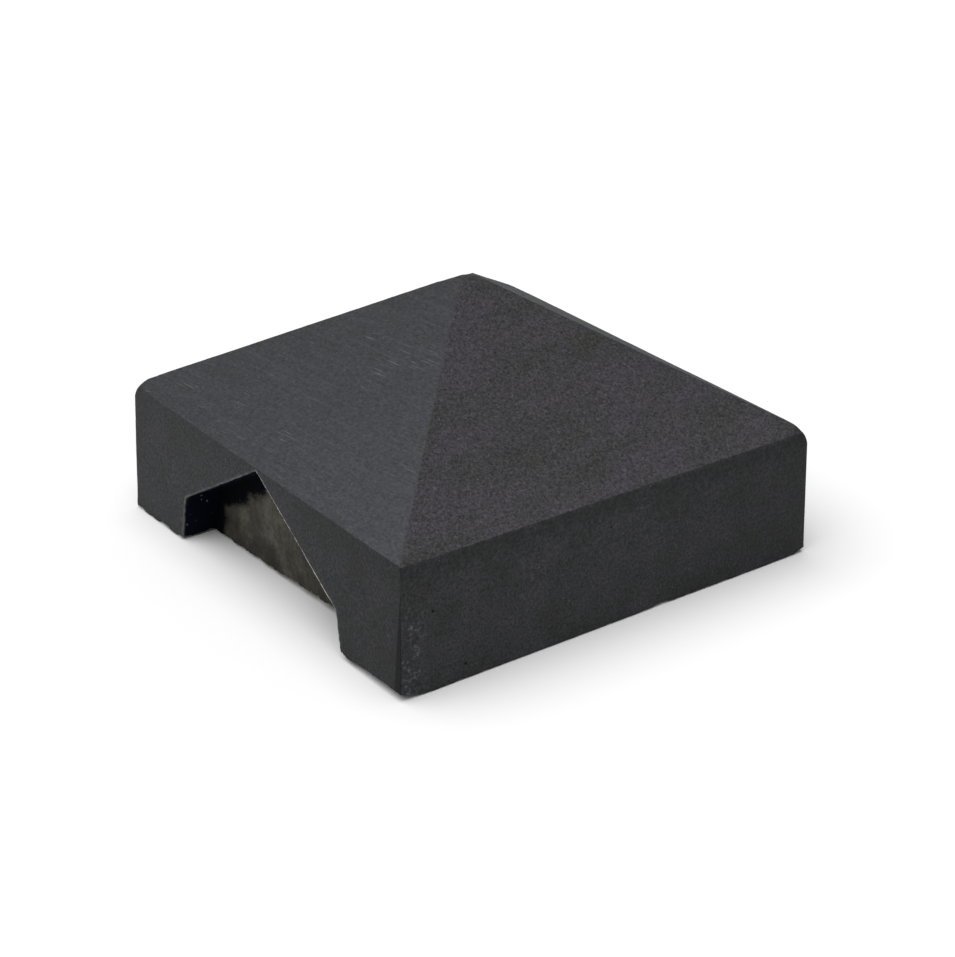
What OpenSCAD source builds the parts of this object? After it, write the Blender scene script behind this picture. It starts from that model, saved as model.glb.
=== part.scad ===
// Concrete cap for the last post of a fence.
// A square block with a leaning skirt and a four-sided pointed roof. One side has a
// gable-shaped notch, open at the front and at the underside, for the end of a coping.
// The cap is cast upside down: a dark pigmented mix against the mould first, then a plain
// core mix with a small welded steel mesh in it, levelled off at what becomes the underside.
// Origin: middle of the underside. +Z up, the notch opens towards -X.

/* [Cap] */
// Width across the square underside
base_w = 240; // [230:1:280]
// How far each skirt face leans in between the underside and the eave
draft = 2; // [0.5:0.5:5]
// Height of the skirt, from the underside to the eave
skirt_h = 67; // [62:1:90]
// Rise of the roof, from the eave to the sharp point of its four slopes
roof_rise = 70; // [50:1:100]
// Rounding of the four upright corners
corner_r = 3; // [1:0.5:10]
// Rounding of the eave
eave_r = 2.5; // [1:0.5:6]
// Rounding of the roof's point
peak_r = 4; // [1:0.5:12]

/* [Notch] */
// Width of the notch at the underside
notch_w = 144; // [120:1:150]
// How far each side of the notch leans in up to its shoulder
notch_lean = 4; // [0:0.5:8]
// Height of the notch's shoulders, where its gable starts
notch_shoulder_h = 23.5; // [15:0.5:35]
// Concrete left between the top of the notch and the eave
notch_crown = 2; // [1:0.5:12]
// How far the notch reaches in from the foot of the skirt
notch_depth = 18; // [18:1:25]

/* [Pigmented layer] */
// Thickness of the pigmented mix in the skirt walls. It is thinner than the notch is deep,
// so the plain core mix shows at the back of the notch
wall_layer_t = 17; // [11:0.5:17.5]
// Thickness of the pigmented mix under the roof, square to the slope
roof_layer_t = 8.5; // [5:0.5:8.5]

/* [Welded mesh] */
// Diameter of the steel wires
wire_d = 4; // [3:0.5:6]
// Distance between neighbouring wires
wire_pitch = 50; // [30:1:55]
// Height of the lower wires' centres above the underside
mesh_h = 34; // [15:1:50]
// Core concrete left beyond the wires' ends
end_cover = 14; // [8:1:30]

/* [Hidden] */
$fn = 48;

// Steps in each rounded outline corner
arc_steps = 8;
// Faces that round each upright corner
corner_steps = 5;
// How far cutting shapes run past the faces they cut
past = 5;
// How far crossing wires melt into each other at a weld
weld_bite = 0.4;
// Wires each way in the mesh
wires = 4;

base_half = base_w / 2;
eave_half = base_half - draft;
core_half = base_half - wall_layer_t;
notch_back = base_half - notch_depth;
roof_slope = atan(roof_rise / eave_half);
// The core's roof runs parallel to the outer roof, under the pigmented layer
core_peak_h = skirt_h + roof_rise - roof_layer_t / cos(roof_slope);
core_shoulder_h = core_peak_h - core_half * tan(roof_slope);
notch_h = skirt_h - notch_crown;
wire_l = 2 * (core_half - end_cover);
cross_h = mesh_h + wire_d - weld_bite;

facing_colour = "#434548";
core_colour = "#5c594f";
steel_colour = "#7d746b";

// Unit vector from point a to point b
function towards(a, b) = (b - a) / norm(b - a);

// Points of the arc of radius r that rounds the corner at p, between its neighbours a and b.
// The outline runs from a to p to b.
function rounded(a, p, b, r) =
    let (
        u = towards(p, a),
        v = towards(p, b),
        half_angle = acos(u * v) / 2,
        centre = p + r / sin(half_angle) * (u + v) / norm(u + v),
        first = p + r / tan(half_angle) * u - centre,
        start = atan2(first.y, first.x),
        turn = 180 - 2 * half_angle,
        way = u.x * v.y - u.y * v.x > 0 ? -1 : 1
    )
    [for (i = [0 : arc_steps])
        centre + r * [cos(start + way * turn * i / arc_steps), sin(start + way * turn * i / arc_steps)]];

// Outline of a house: foot, eave, peak, eave, foot
function house(foot, eave, eave_z, peak_z, r_eave, r_peak) =
    let (
        right_foot = [foot, 0],
        right_eave = [eave, eave_z],
        peak = [0, peak_z],
        left_eave = [-eave, eave_z],
        left_foot = [-foot, 0]
    )
    concat(
        [right_foot],
        rounded(right_foot, right_eave, peak, r_eave),
        rounded(right_eave, peak, left_eave, r_peak),
        rounded(peak, left_eave, left_foot, r_eave),
        [left_foot]
    );

function core_house() = [
    [core_half, 0], [core_half, core_shoulder_h], [0, core_peak_h],
    [-core_half, core_shoulder_h], [-core_half, 0]
];

// How far from the middle a plane turned by angle a touches a square with rounded corners
function reach(half, a) = (half - corner_r) * (abs(cos(a)) + abs(sin(a))) + corner_r;

// A house outline stood upright and drawn out along X
module ridge_block(outline, length) {
    rotate([90, 0, 90])
        linear_extrude(height = length, center = true)
            polygon(outline);
}

// Two ridge blocks crossing at right angles leave a block with a four-sided roof
module roofed_block(outline, length) {
    intersection() {
        ridge_block(outline, length);
        rotate([0, 0, 90])
            ridge_block(outline, length);
    }
}

// A block whose two faces lean as the skirt does, turned to round a pair of upright corners
module leaning_pair(a) {
    foot = reach(base_half, a);
    lean = (foot - reach(eave_half, a)) / skirt_h;
    top = skirt_h + roof_rise;
    low = foot + lean * past;
    high = foot - lean * top;
    rotate([0, 0, a])
        ridge_block([[low, -past], [high, top], [-high, top], [-low, -past]], 2 * base_w);
}

module cap_outside() {
    outline = house(base_half, eave_half, skirt_h, skirt_h + roof_rise, eave_r, peak_r);
    intersection() {
        roofed_block(outline, base_w + 2 * past);
        intersection_for (step = [1 : corner_steps], side = [0, 90])
            leaning_pair(side + 90 * step / (corner_steps + 1));
    }
}

module core_outside() {
    roofed_block(core_house(), 2 * core_half + 2 * past);
}

// The space that the coping's end goes into
module notch_space() {
    shoulder = notch_w / 2 - notch_lean;
    lean_below = notch_lean * past / notch_shoulder_h;
    foot = notch_w / 2 + lean_below;
    translate([-notch_back, 0, 0])
        rotate([90, 0, -90])
            linear_extrude(height = notch_depth + past)
                polygon([
                    [-foot, -past], [foot, -past], [shoulder, notch_shoulder_h],
                    [0, notch_h], [-shoulder, notch_shoulder_h]
                ]);
}

function wire_place(i) = (i - (wires + 1) / 2) * wire_pitch;

// Wire i of the lower layer, which runs along X
module long_wire(i) {
    translate([0, wire_place(i), mesh_h])
        rotate([0, 90, 0])
            cylinder(h = wire_l, d = wire_d, center = true);
}

// Wire i of the upper layer, which runs along Y
module cross_wire(i) {
    translate([wire_place(i), 0, cross_h])
        rotate([90, 0, 0])
            cylinder(h = wire_l, d = wire_d, center = true);
}

module long_layer() {
    for (i = [1 : wires]) long_wire(i);
}

module cross_layer() {
    for (i = [1 : wires]) cross_wire(i);
}

// Dark pigmented concrete: the skirt walls, the roof and the sides of the notch
module facing_layer() {
    color(facing_colour)
        difference() {
            cap_outside();
            core_outside();
            notch_space();
        }
}

// Plain concrete: the underside and the back wall of the notch, with the mesh cast in
module core_fill() {
    color(core_colour)
        difference() {
            core_outside();
            notch_space();
            long_layer();
            cross_layer();
        }
}

module mesh_wire_long(i) {
    color(steel_colour)
        long_wire(i);
}

// The upper wires are melted down onto the lower ones where they cross
module mesh_wire_cross(i) {
    color(steel_colour)
        difference() {
            cross_wire(i);
            long_layer();
        }
}

facing_layer();
core_fill();
for (i = [1 : wires]) {
    mesh_wire_long(i);
    mesh_wire_cross(i);
}
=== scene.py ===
# %% [markdown]
# # A concrete cap for the end post of a fence
#
# The real cap is one heavy casting of dark pigmented concrete, made upside down in a mould. A
# plain grey mix and a small steel mesh are taken to be behind the dark layer. Nothing on it
# moves. What the eye reads is a crisp roof with slightly worn arrises, a rough rim round the
# underside, and the skin that a mould leaves on concrete.
#
# The exact part comes first, as a fixed frame. Everything made below is placed from its box.

# %% Load the fixed frame
import math
import random

import bmesh
import bpy
import numpy as np
from mathutils import Matrix, Vector, noise


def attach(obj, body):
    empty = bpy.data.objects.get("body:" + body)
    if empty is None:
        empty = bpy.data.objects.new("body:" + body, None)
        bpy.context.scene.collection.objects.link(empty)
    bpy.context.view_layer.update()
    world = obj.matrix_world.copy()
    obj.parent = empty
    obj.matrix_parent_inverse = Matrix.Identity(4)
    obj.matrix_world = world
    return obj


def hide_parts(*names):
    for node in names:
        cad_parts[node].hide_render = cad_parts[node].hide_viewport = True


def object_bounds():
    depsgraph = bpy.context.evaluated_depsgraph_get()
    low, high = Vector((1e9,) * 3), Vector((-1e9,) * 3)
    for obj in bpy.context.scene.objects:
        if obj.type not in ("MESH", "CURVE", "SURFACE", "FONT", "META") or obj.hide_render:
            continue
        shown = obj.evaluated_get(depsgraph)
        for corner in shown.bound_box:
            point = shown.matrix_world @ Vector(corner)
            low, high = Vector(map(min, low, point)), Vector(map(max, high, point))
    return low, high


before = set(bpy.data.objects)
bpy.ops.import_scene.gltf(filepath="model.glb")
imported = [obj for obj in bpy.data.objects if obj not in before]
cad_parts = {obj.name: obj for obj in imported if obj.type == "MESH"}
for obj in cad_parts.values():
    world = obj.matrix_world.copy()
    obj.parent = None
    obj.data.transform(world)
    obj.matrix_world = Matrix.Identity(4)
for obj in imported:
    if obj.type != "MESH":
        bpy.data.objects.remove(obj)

mm = 0.001
cad_low, cad_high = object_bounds()
print("the frame measures", [round(side / mm, 1) for side in cad_high - cad_low], "mm")

# %% [markdown]
# ## The camera
#
# A product shot from about a metre away with a short telephoto lens keeps the cap's sides nearly
# parallel. It stands a little left of the near corner and looks down at about 25 degrees, so one
# roof slope shows its scratches, the next its mottling, and the notch shows its back wall.

# %% Place the camera
view_azimuth = math.radians(-36.05)
view_elevation = math.radians(25.43)
view_roll = math.radians(-0.2)
view_distance = 1049.4 * mm
view_target = Vector((1.4, -10.3, 31.2)) * mm
back = Vector((
    math.sin(view_azimuth) * math.cos(view_elevation),
    -math.cos(view_azimuth) * math.cos(view_elevation),
    math.sin(view_elevation),
))
camera_data = bpy.data.cameras.new("studio_camera")
camera_data.sensor_width = 36.0
camera_data.lens = 80.2
camera = bpy.data.objects.new("studio_camera", camera_data)
bpy.context.scene.collection.objects.link(camera)
camera.location = view_target + view_distance * back
camera.rotation_mode = "QUATERNION"
camera.rotation_quaternion = (
    (-back).to_track_quat("-Z", "Y").to_matrix() @ Matrix.Rotation(view_roll, 3, "Z")
).to_quaternion()
bpy.context.scene.camera = camera
print("the camera stands", round(view_distance, 3), "m from the cap")

# %% [markdown]
# ## The studio
#
# Dark concrete is photographed high-key: a white sweep, one broad soft light almost overhead and
# a weak fill from all round. A sun lamp with a very wide disc acts like a softbox that is so far
# away that the white floor is lit evenly. It leans to the notch side, so that side's faces come
# out a little lighter than their neighbours. The plain view transform keeps the floor white.

# %% Floor and lights
key_from = Vector((-0.25, 0.0, 0.82))
key_strength = 2.85
key_spread = math.radians(75)
fill_strength = 0.3
floor_reach = 8.0
floor_drop = 0.1 * mm

floor_mesh = bpy.data.meshes.new("studio_floor")
floor_mesh.from_pydata(
    [(x * floor_reach, y * floor_reach, -floor_drop) for x, y in ((-1, -1), (1, -1), (1, 1), (-1, 1))],
    [], [(0, 1, 2, 3)])
floor = bpy.data.objects.new("studio_floor", floor_mesh)
bpy.context.scene.collection.objects.link(floor)

key = bpy.data.objects.new("key_light", bpy.data.lights.new("key_light", "SUN"))
key.data.energy = key_strength
key.data.angle = key_spread
key.rotation_mode = "QUATERNION"
key.rotation_quaternion = key_from.to_track_quat("Z", "Y")
bpy.context.scene.collection.objects.link(key)

world = bpy.data.worlds.new("studio_fill")
world.use_nodes = True
world.node_tree.nodes["Background"].inputs["Strength"].default_value = fill_strength
world.node_tree.nodes["Background"].inputs["Color"].default_value = (1.0, 1.0, 1.0, 1.0)
bpy.context.scene.world = world
bpy.context.scene.view_settings.view_transform = "Standard"
print("the key light leans", round(math.degrees(key_from.angle((0, 0, 1)))), "degrees")

# %% [markdown]
# ## The mould, written as planes
#
# The cap is all flat faces: four skirt walls that lean in so that the casting slips out, and
# four roof slopes. A face could be modelled polygon by polygon and bevelled, but worn concrete
# has arrises that are sharp in one place and round in the next. So the shape is written as a
# distance function instead: how far a point is outside each plane. The largest distance
# gives sharp edges, and blending the largest two gives an arris of any radius, anywhere.
#
# Real moulds aren't perfect. The tip is off the middle and is a very short ridge. The whole shape
# is tilted by one degree, as if its mould had stood out of level, so one skirt is lower.

# %% Dimensions of the mould
half_foot = cad_high.x
skirt_lean = 2 * mm
skirt_height = 67 * mm
roof_rise = 70 * mm
half_eave = half_foot - skirt_lean
ridge_from = -2.5 * mm
ridge_to = 1.9 * mm
ridge_y = -1.0 * mm
eave_lifts = {(0, -1): -0.15 * mm, (1, -1): 0.1 * mm}
eave_twists = {(0, -1): -0.003, (1, -1): 0.003}
out_of_level = math.radians(1.014)

notch_half_foot = 72 * mm
notch_half_shoulder = 68 * mm
notch_shoulder = 23.5 * mm
notch_peak = 65 * mm
notch_depth = 18 * mm
notch_back = notch_depth - half_foot

to_mould = np.array(Matrix.Rotation(-out_of_level, 3, "X"))
to_world = to_mould.T


def facing(direction, through):
    """A plane as a unit normal and a distance, from its outward direction and a point on it."""
    normal = np.array(direction, float)
    normal /= np.linalg.norm(normal)
    return normal, normal @ np.array(through, float)


walls = {}
slopes = {}
for axis, sign, tip in ((0, -1, ridge_from), (0, 1, ridge_to), (1, -1, ridge_y), (1, 1, ridge_y)):
    outward = [0.0, 0.0, skirt_lean]
    outward[axis] = sign * skirt_height
    foot = [0.0, 0.0, 0.0]
    foot[axis] = sign * half_foot
    walls[axis, sign] = facing(outward, foot)
    lift = eave_lifts.get((axis, sign), 0.0)
    outward = [0.0, 0.0, half_eave - sign * tip]
    outward[1 - axis] = -eave_twists.get((axis, sign), 0.0) * outward[2]
    outward[axis] = sign * (roof_rise - lift)
    eave = [0.0, 0.0, skirt_height + lift]
    eave[axis] = sign * half_eave
    slopes[axis, sign] = facing(outward, eave)

rubbed_flat = facing((-11, -0.8, 0.28), (0.4 * mm - half_foot, -half_foot, 0))

notch_faces = {"back": facing((1, 0, 0), (notch_back, 0, 0))}
for sign in (-1, 1):
    notch_faces["side", sign] = facing(
        (0, sign * notch_shoulder, notch_half_foot - notch_half_shoulder),
        (0, sign * notch_half_foot, 0))
    notch_faces["gable", sign] = facing(
        (0, sign * (notch_peak - notch_shoulder), notch_half_shoulder), (0, 0, notch_peak))
print(len(walls) + len(slopes), "faces on the cap,", len(notch_faces), "in the notch")

# %% [markdown]
# ## Natural unevenness
#
# Smooth noise stands for everything that a mould, a trowel and a few knocks leave: long waves,
# small lumps, crumbs broken off the rim. Blender's own noise is used, because it needs no seed
# and gives the same field in every run.

# %% Noise and ramps


def bumps(points, size, octaves=2):
    """Fractal noise from about -1 to 1 at each point, with lumps of the given size."""
    return np.array([noise.fractal(p, 1.0, 2.0, octaves) for p in (points / size).tolist()])


def ramp(values, low, high):
    """0 below low, 1 above high, and a smooth step between."""
    t = np.clip((values - low) / (high - low), 0, 1)
    return t * t * (3 - 2 * t)


def hump(values, middle, half_width):
    """1 at the middle, falling smoothly to nothing a few half widths away."""
    return np.exp(-((values - middle) / half_width) ** 2)


# %% [markdown]
# ## The cap as one distance function
#
# The planes are joined in groups, so that each kind of arris has its own radius: the upright
# corners, the hips with the tip, the eaves, and the edges of the notch. Three of the eave's
# corners are rubbed round, and the near one hardly is. The near upright corner has a narrow
# flat rubbed along it, which widens towards the foot.

# %% Distance to the cap's surface
upright_radius = 1.3 * mm
near_upright_radius = 0.5 * mm
hip_radius = 0.8 * mm
tip_radius = 3.5 * mm
eave_radius = 0.5 * mm
eave_corner_radius = 6.5 * mm
near_eave_corner_radius = 2.0 * mm
corner_reach = 15 * mm
notch_arris_radius = 0.6 * mm
notch_fillet_radius = 1.5 * mm


def outside(points, planes):
    """Distance outside each plane, one row per plane."""
    return np.stack([points @ normal - offset for normal, offset in planes])


def join(distances, radius):
    """The largest distance, with the edges between faces rounded to the radius."""
    over = np.maximum(distances + radius, 0)
    rounded = np.sqrt((over ** 2).sum(0)) - radius
    return np.where(distances.max(0) > -radius, rounded, distances.max(0))


def closeness(points, centre, reach):
    """1 close to the centre and 0 beyond the reach."""
    return 1 - ramp(np.linalg.norm(points - np.array(centre), axis=1), 0.3 * reach, reach)


def upright_arris(q):
    near = ramp(-q[:, 0], 0, 20 * mm) * ramp(-q[:, 1], 0, 20 * mm)
    return upright_radius + near * (near_upright_radius - upright_radius)


def slope_arris(q):
    ridge_middle = ((ridge_from + ridge_to) / 2, ridge_y, skirt_height + roof_rise)
    tip = closeness(q, ridge_middle, corner_reach)
    return hip_radius + tip * (tip_radius - hip_radius)


def eave_arris(q):
    radius = np.full(len(q), eave_radius)
    for x_sign in (-1, 1):
        for y_sign in (-1, 1):
            near = closeness(q, (x_sign * half_eave, y_sign * half_eave, skirt_height), corner_reach)
            full = near_eave_corner_radius if x_sign == y_sign == -1 else eave_corner_radius
            radius = np.maximum(radius, eave_radius + near * (full - eave_radius))
    return radius


def notch_distance(q):
    """Distance outside the notch's hollow, so it grows into the concrete."""
    return join(outside(q, notch_faces.values()), notch_fillet_radius)


def cap_distance(points):
    q = points @ to_mould.T
    skirt = join(outside(q, [*walls.values(), rubbed_flat]), upright_arris(q))
    roof = join(outside(q, slopes.values()), slope_arris(q))
    cap = join(np.stack([skirt, roof, -points[:, 2]]), eave_arris(q))
    return join(np.stack([cap, -notch_distance(q)]), notch_arris_radius)


# %% [markdown]
# ## From distance function to mesh
#
# A rough solid gives the topology: two convex hulls, one cut from the other, remeshed into even
# voxels. Each vertex is then pulled onto the distance function's zero along its gradient, which
# takes away the remesh's stair steps and puts in the true arrises.

# %% Helpers for solids


def solid_from(name, shape):
    """A mesh object from a bmesh."""
    mesh = bpy.data.meshes.new(name)
    bmesh.ops.recalc_face_normals(shape, faces=shape.faces)
    shape.to_mesh(mesh)
    shape.free()
    solid = bpy.data.objects.new(name, mesh)
    bpy.context.scene.collection.objects.link(solid)
    return solid


def hull(name, corners):
    """A convex solid round the corners."""
    shape = bmesh.new()
    for corner in corners:
        shape.verts.new(corner)
    bmesh.ops.convex_hull(shape, input=shape.verts)
    return solid_from(name, shape)


def change(solid, kind, **settings):
    """Adds one modifier and applies it."""
    modifier = solid.modifiers.new(kind.lower(), kind)
    for setting, value in settings.items():
        setattr(modifier, setting, value)
    evaluated = solid.evaluated_get(bpy.context.evaluated_depsgraph_get())
    mesh = bpy.data.meshes.new_from_object(evaluated)
    solid.modifiers.clear()
    solid.data = mesh


def read_points(mesh):
    flat = np.empty(len(mesh.vertices) * 3, np.float32)
    mesh.vertices.foreach_get("co", flat)
    return flat.reshape(-1, 3).astype(float)


def write_points(mesh, points):
    mesh.vertices.foreach_set("co", points.astype(np.float32).ravel())
    mesh.update()


# %% Rough solid
voxel = 1.1 * mm
signs = [(-1, -1), (-1, 1), (1, -1), (1, 1)]
cap_corners = [(x * half_foot, y * half_foot, 0) for x, y in signs]
cap_corners += [to_world @ (x * half_eave, y * half_eave, skirt_height) for x, y in signs]
cap_corners += [to_world @ (x, ridge_y, skirt_height + roof_rise) for x in (ridge_from, ridge_to)]
block = hull("cast_block", cap_corners)

below_foot = -20 * mm
past_front = -1.3 * half_foot
notch_outline = [(side * y, z) for side in (-1, 1) for y, z in (
    (notch_half_foot, below_foot), (notch_half_foot, 0), (notch_half_shoulder, notch_shoulder),
    (0.1 * mm, notch_peak))]
notch_former = hull("notch_former", [
    to_world @ (x, y, z) for y, z in notch_outline for x in (notch_back, past_front)])
change(block, "BOOLEAN", operation="DIFFERENCE", object=notch_former, solver="EXACT")
bpy.data.objects.remove(notch_former)
change(block, "REMESH", mode="VOXEL", voxel_size=voxel)
print("remeshed to", len(block.data.vertices), "vertices")

# %% Pull the vertices onto the true surface


def gradient(distance, points, step=0.05 * mm):
    """The direction in which the distance grows, by central differences."""
    slope = np.empty_like(points)
    for axis in range(3):
        offset = np.zeros(3)
        offset[axis] = step
        slope[:, axis] = (distance(points + offset) - distance(points - offset)) / (2 * step)
    return slope


points = read_points(block.data)
for _ in range(3):
    slope = gradient(cap_distance, points)
    steepness = np.maximum((slope ** 2).sum(1), 0.2)
    points -= (cap_distance(points) / steepness)[:, None] * slope
print("largest distance left", round(float(np.abs(cap_distance(points)).max()) / mm, 3), "mm")

# %% [markdown]
# An even mesh never has its vertices exactly on an arris, so each arris would be cut off by up to
# one voxel. The vertices nearest a hip or an eave are moved onto the line where its two faces
# meet. That keeps these two crisp, and leaves the rubbed corners and the tip as they are.

# %% Snap to the hips and eaves
snap_reach = 0.55 * voxel
still_sharp = 1.2
q = points @ to_mould.T
planes = [*slopes.values(), *walls.values()]
facings = np.array([normal for normal, _ in planes])
beyond_each = outside(q, planes)
order = np.argsort(-beyond_each, axis=0)
first, second = order[0], order[1]
rows = np.arange(len(q))
near_arris = beyond_each[second, rows] > -snap_reach
near_arris &= np.minimum(first, second) < len(slopes)
near_arris &= (notch_distance(q) > voxel) & (q[:, 2] > 2 * voxel)
near_arris &= eave_arris(q) < still_sharp * eave_radius
near_arris &= slope_arris(q) < still_sharp * hip_radius
first, second, rows = first[near_arris], second[near_arris], rows[near_arris]
pair = np.stack([facings[first], facings[second]], axis=1)
gap = np.stack([beyond_each[first, rows], beyond_each[second, rows]], axis=1)
share = np.linalg.solve(pair @ pair.transpose(0, 2, 1), gap[:, :, None])
q[rows] -= (pair.transpose(0, 2, 1) @ share)[:, :, 0]
points = q @ to_mould
print("moved", len(rows), "vertices onto an arris")

# %% [markdown]
# ## What casting leaves on the faces
#
# Four kinds of unevenness are added along the surface's normal, almost all inwards, so the cap
# never grows past its true size: long waves from a mould that flexes, a fine orange-peel grain
# on two slopes, a coarse skin on the notch's back where plain mix was pressed in by hand, and
# crumbled lips along the notch's front edges.

# %% Waves, grain and lips
wave_depth = 0.12 * mm
grain_depth = 0.05 * mm
pressed_depth = 0.35 * mm
crumbled_depth = 0.45 * mm
normals = slope / np.linalg.norm(slope, axis=1)[:, None]
q = points @ to_mould.T


def behind(q, plane):
    """Depth behind one plane of the mould."""
    normal, offset = plane
    return offset - q @ normal


def on_plane(q, plane, depth=1.2 * mm):
    """1 on a plane of the mould, falling to 0 at that depth behind it."""
    return 1 - ramp(behind(q, plane), 0.2 * depth, depth)


def notch_lip(q, width):
    """1 along the notch's front edge, by distance from both faces that meet there."""
    away = np.hypot(behind(q, walls[0, -1]), notch_distance(q))
    return 1 - ramp(away, 0.4 * width, width)


grained = np.maximum(on_plane(q, slopes[1, -1]), on_plane(q, slopes[1, 1]))
back_wall = (1 - ramp(np.abs(q[:, 0] - notch_back), 0.3 * mm, 1.2 * mm)) * (notch_distance(q) < mm)
wave = wave_depth * (bumps(points, 45 * mm) - 1)
grain = grain_depth * (grained + 0.3) * (bumps(points, 3.5 * mm, 3) - 1)
pressed = pressed_depth * back_wall * bumps(points * (1, 1, 0.45), 9 * mm, 3)
crumbled = crumbled_depth * notch_lip(q, 2.5 * mm) * np.minimum(bumps(points, 5 * mm, 3), 0)
points += (wave + grain + pressed + crumbled)[:, None] * normals
print("the skin moves in by up to", round(float(-(wave + grain).min()) / mm, 2), "mm")

# %% [markdown]
# ## The struck-off underside
#
# The mould is filled from the cap's underside, then levelled by eye. So the rim
# wanders: it stands about 4 mm clear of the ground at the near corner and behind the notch, is
# low next to the notch's foot, and is chipped in the middle of one side and at one corner.
# Lifting the lowest centimetre of the mesh, less and less with height, keeps every wall whole.

# %% Rim of the underside
rim_depth = 12 * mm
rim_slope = 0.0192
most_lift = 3.7 * mm
middle_lift = 1.4 * mm
corner_lift = 0.9 * mm
notch_foot_dip = 1.7 * mm
wall_chip = 1.9 * mm
corner_chip = 2.2 * mm
crumb_height = 0.45 * mm
broken_height = 1.1 * mm

x, y, z = points.T
notch_end = np.minimum(rim_slope * (115 * mm - y), most_lift)
notch_end += middle_lift * hump(y, -25 * mm, 26 * mm)
notch_end += corner_lift * ramp(-y, 108 * mm, 120 * mm)
notch_end -= notch_foot_dip * hump(y, -74 * mm, 15 * mm)
inner = ramp(y, -119 * mm, -90 * mm)
fade_from = -127 * mm + 26 * mm * inner
lift = notch_end * (1 - ramp(x, fade_from, fade_from + 24 * mm + 17 * mm * inner))
lift += wall_chip * hump(x, 28 * mm, 5 * mm) * hump(y, -120 * mm, 5 * mm)
lift += corner_chip * hump(x, 121 * mm, 6 * mm) * hump(y, -121 * mm, 5 * mm)
low = z < rim_depth
flat = points[low] * (1, 1, 0)
crumbs = np.zeros(len(points))
crumbs[low] = np.maximum(bumps(flat, 7 * mm, 3) + 0.5 * bumps(flat, 22 * mm) + 0.3, 0)
at_rim = ramp(np.maximum(np.abs(x), np.abs(y)), half_foot - 24 * mm, half_foot - 16 * mm)
lift += crumb_height * crumbs * (0.5 + at_rim)
at_notch_end = ramp(-x, 90 * mm, 100 * mm) * ramp(y, -80 * mm, -70 * mm)
chipped = np.zeros(len(points))
chipped[low] = ramp(bumps(flat, 6.5 * mm, 3), -0.05, 0.25)
lift += broken_height * chipped * at_notch_end
points[:, 2] += lift * (1 - ramp(z, 0, rim_depth))
points = np.clip(points, np.array(cad_low), np.array(cad_high))
write_points(block.data, points)
print("the rim is lifted by up to", round(float(lift.max()) / mm, 1), "mm")
print("the tip stands at", round(float(points[:, 2].max()) / mm, 2), "mm")

# %% [markdown]
# ## Pinholes
#
# Bubbles of trapped air stay against the mould and open as small round holes. They are cut as
# real hollows, because a painted dot has no depth when the light moves. A few of the largest
# are placed to the nearest 5 mm, and some more are scattered over the roof and three walls.

# %% Cut the air holes
roof_holes = [
    (-20, -30, 0.75), (-40, -50, 0.6), (30, -90, 0.9), (65, -100, 0.9), (65, -95, 0.5), (0, -105, 0.5)]
wall_hole_along = -85 * mm
wall_hole_height = 10 * mm
scatter = random.Random(11)
hole_count = 26


def on_roof(x, y):
    """The point of the roof above a place on the mould's plan."""
    heights = [
        (offset - normal[0] * x - normal[1] * y) / normal[2] for normal, offset in slopes.values()]
    return to_world @ (x, y, min(heights))


def on_wall(axis, sign, along, height):
    """A point of a skirt wall."""
    place = [along, along, height]
    place[axis] = sign * (half_foot - skirt_lean * height / skirt_height - 0.25 * mm)
    return to_world @ place


balls = bmesh.new()
for x_at, y_at, radius in roof_holes:
    where = Matrix.Translation(on_roof(x_at * mm, y_at * mm))
    bmesh.ops.create_icosphere(balls, subdivisions=2, radius=radius * mm, matrix=where)
where = Matrix.Translation(on_wall(1, -1, wall_hole_along, wall_hole_height))
bmesh.ops.create_icosphere(balls, subdivisions=2, radius=0.9 * mm, matrix=where)
for _ in range(hole_count):
    along = scatter.uniform(-105, 105) * mm
    across = scatter.uniform(-105, 105) * mm
    height = scatter.uniform(14, 58) * mm
    wall = scatter.choice([(0, 1), (1, -1), (1, 1), None, None])
    where = Matrix.Translation(on_wall(*wall, along, height) if wall else on_roof(along, across))
    bmesh.ops.create_icosphere(
        balls, subdivisions=2, radius=scatter.uniform(0.35, 0.8) * mm, matrix=where)
bubbles = solid_from("air_bubbles", balls)
change(block, "BOOLEAN", operation="DIFFERENCE", object=bubbles, solver="MANIFOLD")
bpy.data.objects.remove(bubbles)
print("cut", hole_count + len(roof_holes) + 1, "air holes")

# %% [markdown]
# ## Two mixes of concrete
#
# The dark mix goes into the mould first as a lining, and the plain mix fills up behind it. From
# below, the boundary is a wavy line a little in from the rim. In the notch the lining stops
# short of the back wall, so the plain mix shows there. One closed former cuts the block in two,
# and the two pieces share that cut, as the two mixes do.

# %% Split the block into lining and fill
lining_wall = 17 * mm
fill_half = half_foot - lining_wall
fill_front = notch_back - 0.9 * mm
lining_roof = 10 * mm
former_voxel = 3.5 * mm
former_waviness = 2.2 * mm

former = hull("fill_former", [
    (x * fill_half, y * fill_half, z) for x, y in signs for z in (-5 * mm, skirt_height - lining_roof)
] + [(0, 0, skirt_height + roof_rise - 1.6 * lining_roof)])
change(former, "REMESH", mode="VOXEL", voxel_size=former_voxel)
edge = read_points(former.data)
furthest = np.abs(edge[:, :2]).max(1)
outwards = edge * (1, 1, 0) / np.maximum(furthest, mm)[:, None]
at_side = ramp(furthest, 0.9 * fill_half, 0.98 * fill_half)
edge += (former_waviness * bumps(edge, 30 * mm, 3) * at_side)[:, None] * outwards
behind_notch = (edge[:, 0] < -0.9 * fill_half) & (np.abs(edge[:, 1]) < notch_half_foot + 12 * mm)
edge[behind_notch, 0] = fill_front
write_points(former.data, edge)

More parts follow.
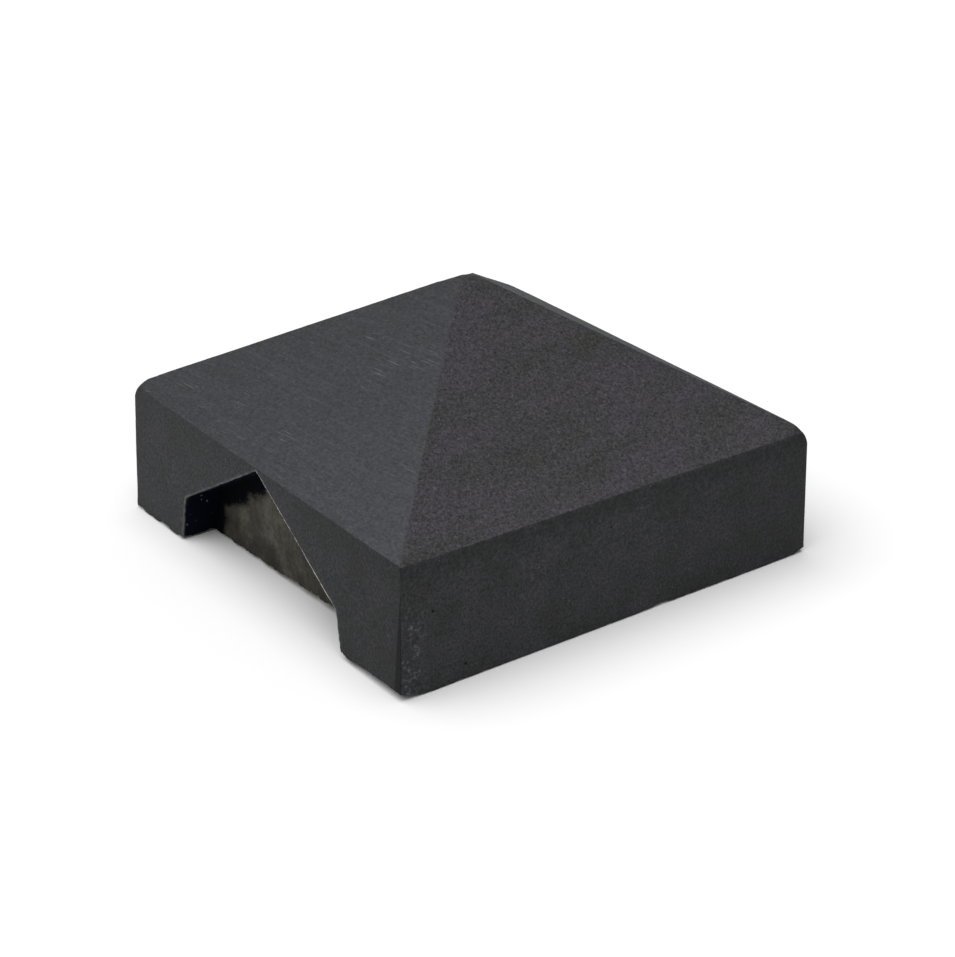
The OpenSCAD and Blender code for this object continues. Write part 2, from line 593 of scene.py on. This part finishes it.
fill = bpy.data.objects.new("core_concrete", block.data.copy())
bpy.context.scene.collection.objects.link(fill)
change(fill, "BOOLEAN", operation="INTERSECT", object=former, solver="MANIFOLD")
change(block, "BOOLEAN", operation="DIFFERENCE", object=former, solver="MANIFOLD")
block.name = "pigmented_concrete"
bpy.data.objects.remove(former)

# %% [markdown]
# The voxel mesh has far more faces than flat walls need. Both pieces are thinned to a set number
# of faces, then shaded smooth, with normals that lean towards the larger faces so that thinning
# doesn't show.

# %% Thin and shade the two pieces
lining_faces = 185000
fill_faces = 60000
sharp_angle = math.radians(50)
for piece, allowed in ((block, lining_faces), (fill, fill_faces)):
    share = allowed / sum(len(face.vertices) - 2 for face in piece.data.polygons)
    if share < 1:
        change(piece, "DECIMATE", ratio=share)
    piece.data.polygons.foreach_set("use_smooth", [True] * len(piece.data.polygons))
    piece.data.set_sharp_from_angle(angle=sharp_angle)
    change(piece, "WEIGHTED_NORMAL", weight=80, keep_sharp=True)
    print(piece.name, "has", len(piece.data.polygons), "faces")

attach(block, "root")
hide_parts("facing_layer")
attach(fill, "root")
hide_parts("core_fill")

# %% [markdown]
# ## Where each finish is
#
# The faces came out of the mould with different skins: two slopes smooth and scratched, two
# grained and mottled, the walls in between. Which face a point is on needs a boundary finer
# than the mesh, so the material works that out later, from the planes of the mould. What fades
# over a distance, such as the painted shade in the strip below the eave, is stored here on the
# mesh instead, as an attribute from 0 to 1. Several of these attributes carry painted light and
# shade.

# %% Store the finishes of the lining


def store(mesh, name, values):
    attribute = mesh.attributes.new(name, "FLOAT", "POINT")
    attribute.data.foreach_set("value", np.clip(values, 0, 1).astype(np.float32))


q = read_points(block.data) @ to_mould.T
below_eave = skirt_height - q[:, 2]
on_south_wall = on_plane(q, walls[1, -1], 2 * mm)
behind_front = behind(q, walls[0, -1])
# Painted shade: the notch's own faces, which are painted near-black.
painted_notch_shade = (notch_distance(q) < 1.3 * mm) * ramp(behind_front, 0.5 * mm, 1.2 * mm)
lip_pale = notch_lip(q, 1.3 * mm) * np.clip(0.75 + 0.8 * bumps(q, 6 * mm, 3), 0, 1)
pitted = hump(q[:, 0], -113 * mm, 6 * mm) * (1 - ramp(q[:, 2], 30 * mm, 55 * mm)) * on_south_wall
# Painted shade: a dark strip just below the eave, strongest on the south wall.
painted_eave_shade = hump(below_eave, 3 * mm, 6 * mm) * (below_eave > 0.8 * mm) * (0.3 + 0.7 * on_south_wall)

on_west_wall = on_plane(q, walls[0, -1], 2 * mm)
# Painted shade: the walls darker towards the far end, the west wall towards the south.
painted_wall_shade = np.maximum(ramp(q[:, 0], -20 * mm, 115 * mm), on_west_wall * ramp(-q[:, 1], 0, 110 * mm))

store(block.data, "toward_eave", 1 - ramp(-below_eave, 0, 28 * mm))
# Painted light: the smooth slopes lighter towards the near corner.
store(block.data, "painted_slope_light", (-q[:, 0] - q[:, 1] - 20 * mm) / (200 * mm))
store(block.data, "painted_wall_shade", painted_wall_shade)
store(block.data, "painted_eave_shade", painted_eave_shade)
store(block.data, "painted_notch_shade", painted_notch_shade)
store(block.data, "notch_lip", lip_pale)
store(block.data, "pitted", pitted)
print("the notch's faces have", int((painted_notch_shade > 0.5).sum()), "vertices")

# %% Store the painted shade on the fill
q = read_points(fill.data) @ to_mould.T
to_side = np.stack([behind(q, plane) for name, plane in notch_faces.items() if name != "back"]).min(0)
# Painted shade: the notch's back wall goes near-black close to its sides, on one half.
recess_shade = 1 - ramp(to_side + 3 * mm * bumps(q, 8 * mm, 3), 4 * mm, 15 * mm)
recess_shade *= ramp(q[:, 1], -30 * mm, 5 * mm) * (np.abs(q[:, 0] - notch_back) < 1.5 * mm)
recess_shade *= to_side > -0.5 * mm
store(fill.data, "painted_recess_shade", recess_shade)

# %% [markdown]
# ## Materials: one way to write a node
#
# A procedural concrete has many nodes. One helper adds a node, sets its options and sets or links
# its inputs. Another turns the sRGB hex colours, which are easy to compare, into linear light.

# %% Node and colour helpers


def linear(hex_colour):
    """sRGB hex to linear RGBA."""
    channels = [int(hex_colour[i:i + 2], 16) / 255 for i in (1, 3, 5)]
    return (*[c / 12.92 if c <= 0.04045 else ((c + 0.055) / 1.055) ** 2.4 for c in channels], 1.0)


def add(tree, kind, inputs=None, output=0, **options):
    """Adds a node, sets or links its inputs, and returns one of its outputs."""
    item = tree.nodes.new("ShaderNode" + kind)
    for option, value in options.items():
        setattr(item, option, value)
    for name, value in (inputs or {}).items():
        if isinstance(value, bpy.types.NodeSocket):
            tree.links.new(value, item.inputs[name])
        else:
            item.inputs[name].default_value = value
    return item.outputs[output]


def new_material(name):
    material = bpy.data.materials.new(name)
    material.use_nodes = True
    return material, material.node_tree, material.node_tree.nodes["Principled BSDF"]


def mask(tree, name):
    return add(tree, "Attribute", attribute_name=name, output="Fac")


def lumps(tree, where, size, detail=3.0, roughness=0.6, distortion=0.0):
    """Noise with lumps of a real size, from 0 to 1."""
    return add(tree, "TexNoise", {
        "Vector": where, "Scale": 1 / size, "Detail": detail, "Roughness": roughness,
        "Distortion": distortion})


def cells(tree, where, size):
    """Distance from the nearest of many scattered points, in cells of a real size."""
    return add(tree, "TexVoronoi", {"Vector": where, "Scale": 1 / size}, output="Distance")


def reshape(tree, value, low, high, to_low=0.0, to_high=1.0):
    return add(tree, "MapRange", {
        "Value": value, "From Min": low, "From Max": high, "To Min": to_low, "To Max": to_high})


def multiply(tree, a, b):
    return add(tree, "Math", {0: a, 1: b}, operation="MULTIPLY")


def scale_colour(tree, colour, amount):
    return add(tree, "VectorMath", {0: colour, 1: amount}, operation="MULTIPLY")


def blend(tree, amount, a, b):
    """Mixes two colours, which may be sockets or linear values."""
    mixer = tree.nodes.new("ShaderNodeMix")
    mixer.data_type = "RGBA"
    for name, value in (("Factor_Float", amount), ("A_Color", a), ("B_Color", b)):
        socket = next(s for s in mixer.inputs if s.identifier == name)
        if isinstance(value, bpy.types.NodeSocket):
            tree.links.new(value, socket)
        else:
            socket.default_value = value
    return next(s for s in mixer.outputs if s.identifier == "Result_Color")


def beyond(tree, where, planes):
    """Distance outside the nearest of some planes of the mould, at the point being shaded."""
    furthest = None
    for normal, offset in planes:
        along = add(tree, "VectorMath", {0: where, 1: tuple(to_world @ normal)},
                    output="Value", operation="DOT_PRODUCT")
        distance = add(tree, "Math", {0: along, 1: offset}, operation="SUBTRACT")
        furthest = distance if furthest is None else add(
            tree, "Math", {0: furthest, 1: distance}, operation="MAXIMUM")
    return furthest


def wins(tree, this, others, blur=0.15 * mm):
    """1 where this group of planes is nearer than the others, with a crisp boundary."""
    other = others[0]
    for distance in others[1:]:
        other = add(tree, "Math", {0: other, 1: distance}, operation="MAXIMUM")
    lead = add(tree, "Math", {0: this, 1: other}, operation="SUBTRACT")
    return reshape(tree, lead, -blur, blur)


def close_to(tree, where, plane, depth):
    """1 on one plane of the mould, falling to 0 at that distance on either side."""
    distance = add(tree, "Math", {0: beyond(tree, where, [plane])}, operation="ABSOLUTE")
    return reshape(tree, distance, 0.6 * depth, depth, 1.0, 0.0)


def drawn_out(tree, where, turn, lengths):
    """Object space turned about the upright, then divided by real lengths, for streaks."""
    turned = add(tree, "Mapping", {"Vector": where, "Rotation": (0, 0, turn)})
    return add(tree, "Mapping", {"Vector": turned, "Scale": tuple(1 / part for part in lengths)})


# %% [markdown]
# ## Wet-cast pigmented concrete
#
# The lining is wet-cast concrete, most likely with black iron-oxide pigment and cured against a
# smooth mould. That gives the eye a dense, nearly matt grey-black with no visible stones. The two
# smooth slopes are bluish and carry short pale scratches, all nearly in line with the eave; their
# bluish, lighter tone is partly their own and partly painted sheen and light. The two grained ones
# have an orange-peel skin, and purplish grey clouds drawn out nearly in line with the eave. The
# walls are mottled and painted darker than the slopes as shade, and darkest just below the eave,
# where the strip is painted shade too.
#
# The grain of real cement is too fine to show from a metre away. It is drawn 1 to 3 mm coarse,
# which is as coarse as it needs to be to show.

# %% Pigmented concrete: patterns
concrete, tree, shader = new_material("wet_cast_pigmented_concrete")
where = add(tree, "TexCoord", output="Object")
cloud_turn = math.radians(-11)
scratch_turn = math.radians(-4)
endless = 1.0
plain_white = (1.0, 1.0, 1.0, 1.0)
clouds = lumps(tree, where, 16 * mm, 5, 0.65)
grain = lumps(tree, where, 1.3 * mm, 3, 0.75)
flecks = lumps(tree, where, 2.6 * mm, 2, 0.7)
bands = lumps(tree, drawn_out(tree, where, cloud_turn, (60 * mm, 15 * mm, endless)), 1, 6, 0.66)
print("patterns for", concrete.name)

# %% [markdown]
# The boundary between two faces has to be as crisp as the arris itself, which is finer than the
# mesh. So every shaded point is compared with the planes of the mould, and belongs to the face
# that it lies furthest out of.

# %% Pigmented concrete: which face is being shaded
out_smooth = beyond(tree, where, [slopes[0, -1], slopes[0, 1]])
out_grained = beyond(tree, where, [slopes[1, -1], slopes[1, 1]])
out_wall = beyond(tree, where, walls.values())
out_rubbed = beyond(tree, where, [rubbed_flat])
smooth = wins(tree, out_smooth, [out_grained, out_wall])
grained = wins(tree, out_grained, [out_smooth, out_wall])
# The flat along the near upright corner, where painted shade goes.
corner_flat_shade = wins(tree, out_rubbed, [out_wall, out_smooth, out_grained], 0.02 * mm)
print("finishes by face:", len(slopes), "slopes and", len(walls), "walls")

# %% Pigmented concrete: the tone of each face
# Partly painted: the walls' tone is darker than the slopes' as painted shade, and the smooth slopes'
# tone is lighter and bluish as painted light and sheen.
wall_tone_and_shade = blend(tree, reshape(tree, clouds, 0.35, 0.65), linear("#282928"), linear("#343438"))
smooth_tone_and_sheen = blend(tree, reshape(tree, clouds, 0.3, 0.7), linear("#393b3e"), linear("#3e4043"))
grained_tone = blend(tree, reshape(tree, bands, 0.4, 0.66), linear("#3c3a3f"), linear("#343433"))

tone = blend(tree, smooth, wall_tone_and_shade, smooth_tone_and_sheen)
tone = blend(tree, grained, tone, grained_tone)
# Painted shade: the strip just below the eave is darkened.
tone = blend(tree, multiply(tree, mask(tree, "painted_eave_shade"), 0.45), tone, linear("#1d1f1f"))

# %% Pigmented concrete: the grain of each face
fine = reshape(tree, grain, 0.3, 0.7, 0.5, 1.5)
brushed = drawn_out(tree, where, scratch_turn, (0.9 * mm, 2.2 * mm, 0.9 * mm))
brushed = lumps(tree, brushed, 1, 3, 0.7)
brushed = reshape(tree, brushed, 0.3, 0.7, 0.64, 1.36)
worm = lumps(tree, where, 1.4 * mm, 3, 0.7, distortion=1.5)
worm = reshape(tree, worm, 0.3, 0.7, 0.5, 1.46)
tone = blend(tree, smooth, scale_colour(tree, tone, fine), scale_colour(tree, tone, brushed))
tone = blend(tree, grained, tone, scale_colour(tree, tone, worm))

# %% Pigmented concrete: slow changes from end to end, partly painted light and shade
lighter = multiply(tree, mask(tree, "toward_eave"), grained)
tone = scale_colour(tree, tone, reshape(tree, lighter, 0, 1, 1.0, 1.06))
# Painted light: the smooth slopes get lighter towards the near corner.
tone = blend(tree, smooth, tone, scale_colour(
    tree, tone, reshape(tree, mask(tree, "painted_slope_light"), 0, 1, 0.83, 1.05)))
# Painted shade on the walls, darker towards one end; the slopes are left as they are.
shade = add(tree, "Math", {0: smooth, 1: grained}, operation="MAXIMUM")
shade = blend(tree, shade, reshape(tree, mask(tree, "painted_wall_shade"), 0, 1, 1.05, 0.84), plain_white)
tone = scale_colour(tree, tone, shade)
tone = scale_colour(tree, tone, reshape(tree, flecks, 0.3, 0.7, 0.88, 1.12))

# %% [markdown]
# Wear and dirt come over the clean skin, in the order in which they happen: scratches and rubbed
# streaks, pale specks, pits where the near corner has lost its skin, and last the notch's pale
# broken lip. Painted shade goes on as well: the notch's faces are painted black inside, and the
# flat along the near upright corner is painted near-black.

# %% Pigmented concrete: scratches
hairs = lumps(tree, drawn_out(tree, where, scratch_turn, (0.5 * mm, 20 * mm, endless)), 1, 2)
rubs = lumps(tree, drawn_out(tree, where, scratch_turn, (2.2 * mm, 60 * mm, endless)), 1, 3)
patches = reshape(tree, lumps(tree, where, 30 * mm, 2), 0.42, 0.62)
scratches = multiply(tree, multiply(tree, reshape(tree, hairs, 0.63, 0.76), patches), smooth)
tone = blend(tree, multiply(tree, scratches, 0.5), tone, linear("#85878a"))
rubs = multiply(tree, reshape(tree, rubs, 0.5, 0.7), smooth)
tone = blend(tree, multiply(tree, rubs, 0.07), tone, linear("#6c6e72"))

# %% Pigmented concrete: specks and pits
specks = reshape(tree, cells(tree, where, 7 * mm), 0.03, 0.06, 1.0, 0.0)
tone = blend(tree, multiply(tree, specks, 0.35), tone, linear("#80807c"))

some = multiply(tree, mask(tree, "pitted"), reshape(tree, lumps(tree, where, 5 * mm, 2), 0.38, 0.56))
bared = lumps(tree, where, 1.8 * mm, 2, 0.5)
pale_grit = multiply(tree, reshape(tree, bared, 0.56, 0.66), some)
pits = multiply(tree, reshape(tree, bared, 0.34, 0.42, 1.0, 0.0), some)
tone = blend(tree, multiply(tree, pale_grit, 0.5), tone, linear("#74767b"))
tone = blend(tree, multiply(tree, pits, 0.6), tone, linear("#121313"))

# %% Pigmented concrete: painted shade in the notch and on the near corner
# Painted shade: the notch's faces are painted near-black, with pale grit over them.
painted_notch_shade = mask(tree, "painted_notch_shade")
tone = blend(tree, painted_notch_shade, tone, linear("#080c17"))
grit = multiply(tree, reshape(tree, cells(tree, where, 4 * mm), 0.11, 0.15, 1.0, 0.0), painted_notch_shade)
tone = blend(tree, multiply(tree, grit, 0.3), tone, linear("#a0a4a8"))
# Painted shade: the flat along the near upright corner is painted near-black.
tone = blend(tree, multiply(tree, corner_flat_shade, 0.9), tone, linear("#0d0d0d"))
tone = blend(tree, multiply(tree, mask(tree, "notch_lip"), 0.4), tone, linear("#8f8f8d"))

# %% Pigmented concrete: the brightest part of the lip
broken = reshape(tree, lumps(tree, where, 5 * mm, 3), 0.42, 0.56, 0.2, 1.0)
sides = [plane for name, plane in notch_faces.items() if name not in ("back", ("gable", -1))]
right_gable = wins(tree, beyond(tree, where, [notch_faces["gable", -1]]), [beyond(tree, where, sides)])
right_lip = multiply(tree, close_to(tree, where, notch_faces["gable", -1], 1.1 * mm), broken)
right_lip = multiply(tree, right_lip, close_to(tree, where, walls[0, -1], 0.9 * mm))
right_lip = multiply(tree, right_lip, right_gable)
tone = blend(tree, multiply(tree, right_lip, 0.9), tone, linear("#c8c8c4"))
tree.links.new(tone, shader.inputs["Base Color"])

# %% Pigmented concrete: skin
peel = lumps(tree, where, 1.6 * mm, 2)
skin = multiply(tree, peel, reshape(tree, grained, 0, 1, 0.3, 1.0))
skin = add(tree, "Math", {0: skin, 1: multiply(tree, pits, -0.8)}, operation="ADD")
relief = add(tree, "Bump", {"Height": skin, "Strength": 0.7, "Distance": 0.35 * mm})
tree.links.new(relief, shader.inputs["Normal"])
tree.links.new(reshape(tree, clouds, 0.3, 0.7, 0.62, 0.74), shader.inputs["Roughness"])
shader.inputs["IOR"].default_value = 1.5
tree.links.new(reshape(tree, painted_notch_shade, 0, 1, 0.15, 0.02), shader.inputs["Specular IOR Level"])

# %% [markdown]
# ## Plain core concrete
#
# The mix behind the lining has no pigment worth the name: ordinary grey-brown cement and
# river sand, pressed in by hand and never seen once the cap is laid. In the notch it ran down in
# upright streaks. Along the edges it shares with the lining there, it is painted near-black as
# shade.

# %% Core concrete
plain, tree, shader = new_material("plain_core_concrete")
where = add(tree, "TexCoord", output="Object")
runs = lumps(tree, drawn_out(tree, where, 0, (9 * mm, 9 * mm, 17 * mm)), 1, 6, 0.7)
sand = lumps(tree, where, 1.1 * mm, 3, 0.7)
smears = lumps(tree, where, 11 * mm, 6, 0.7)
tone = blend(tree, reshape(tree, runs, 0.33, 0.67), linear("#34332c"), linear("#4a4840"))
tone = blend(tree, reshape(tree, smears, 0.38, 0.56, 0.4, 0.0), tone, linear("#24231f"))
tone = blend(tree, reshape(tree, smears, 0.54, 0.7, 0.0, 0.35), tone, linear("#5c5a52"))
height = add(tree, "SeparateXYZ", {"Vector": where}, output="Z")
wander = reshape(tree, smears, 0.3, 0.7, -12 * mm, 12 * mm)
low = add(tree, "Math", {0: height, 1: wander}, operation="ADD")
tone = scale_colour(tree, tone, reshape(tree, low, 0, 34 * mm, 0.62, 1.42))
tone = scale_colour(tree, tone, reshape(tree, sand, 0.25, 0.75, 0.62, 1.38))
# Painted shade: near-black and less shiny along the back wall's sides.
recess_shade = add(tree, "Math", {
    0: mask(tree, "painted_recess_shade"), 1: reshape(tree, sand, 0.3, 0.7, -0.25, 0.25)}, operation="ADD")
recess_shade = reshape(tree, recess_shade, 0.12, 0.6)
tone = blend(tree, recess_shade, tone, linear("#04070c"))
tree.links.new(tone, shader.inputs["Base Color"])
relief = add(tree, "Bump", {"Height": sand, "Strength": 0.6, "Distance": 0.3 * mm})
tree.links.new(relief, shader.inputs["Normal"])
tree.links.new(reshape(tree, runs, 0.3, 0.7, 0.75, 0.88), shader.inputs["Roughness"])
tree.links.new(reshape(tree, recess_shade, 0, 1, 0.15, 0.02), shader.inputs["Specular IOR Level"])
shader.inputs["IOR"].default_value = 1.5

# %% [markdown]
# ## Drawn steel wire
#
# The mesh in the fill is cold-drawn wire, welded and stored outdoors: grey metal with a first
# bloom of rust. It is cast in and never seen, but the part carries it, so it gets its own finish.

# %% Mesh wire
wire, tree, shader = new_material("drawn_steel_wire")
where = add(tree, "TexCoord", output="Object")
bloom = reshape(tree, lumps(tree, where, 5 * mm, 4), 0.5, 0.62)
tone = blend(tree, bloom, linear("#8b8d8e"), linear("#6e4630"))
tree.links.new(tone, shader.inputs["Base Color"])
tree.links.new(reshape(tree, bloom, 0, 1, 0.35, 0.85), shader.inputs["Roughness"])
tree.links.new(reshape(tree, bloom, 0, 1, 1.0, 0.1), shader.inputs["Metallic"])
rust = add(tree, "Bump", {"Height": bloom, "Strength": 0.4, "Distance": 0.1 * mm})
tree.links.new(rust, shader.inputs["Normal"])

# %% [markdown]
# ## White studio paper
#
# The sweep is matt white paper, the usual ground for a catalogue shot. It is bright enough
# to wash out to white, and shows only the soft shadow that ties the cap to the floor.

# %% Floor paper and assignment
paper, tree, shader = new_material("white_studio_paper")
shader.inputs["Base Color"].default_value = (0.9, 0.9, 0.9, 1.0)
shader.inputs["Roughness"].default_value = 0.95
shader.inputs["Specular IOR Level"].default_value = 0.1


def cover(solid, material):
    solid.data.materials.clear()
    solid.data.materials.append(material)


cover(block, concrete)
cover(fill, plain)
cover(floor, paper)
for name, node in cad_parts.items():
    if name.startswith("mesh_wire"):
        cover(node, wire)
print("materials:", [material.name for material in bpy.data.materials if material.users])
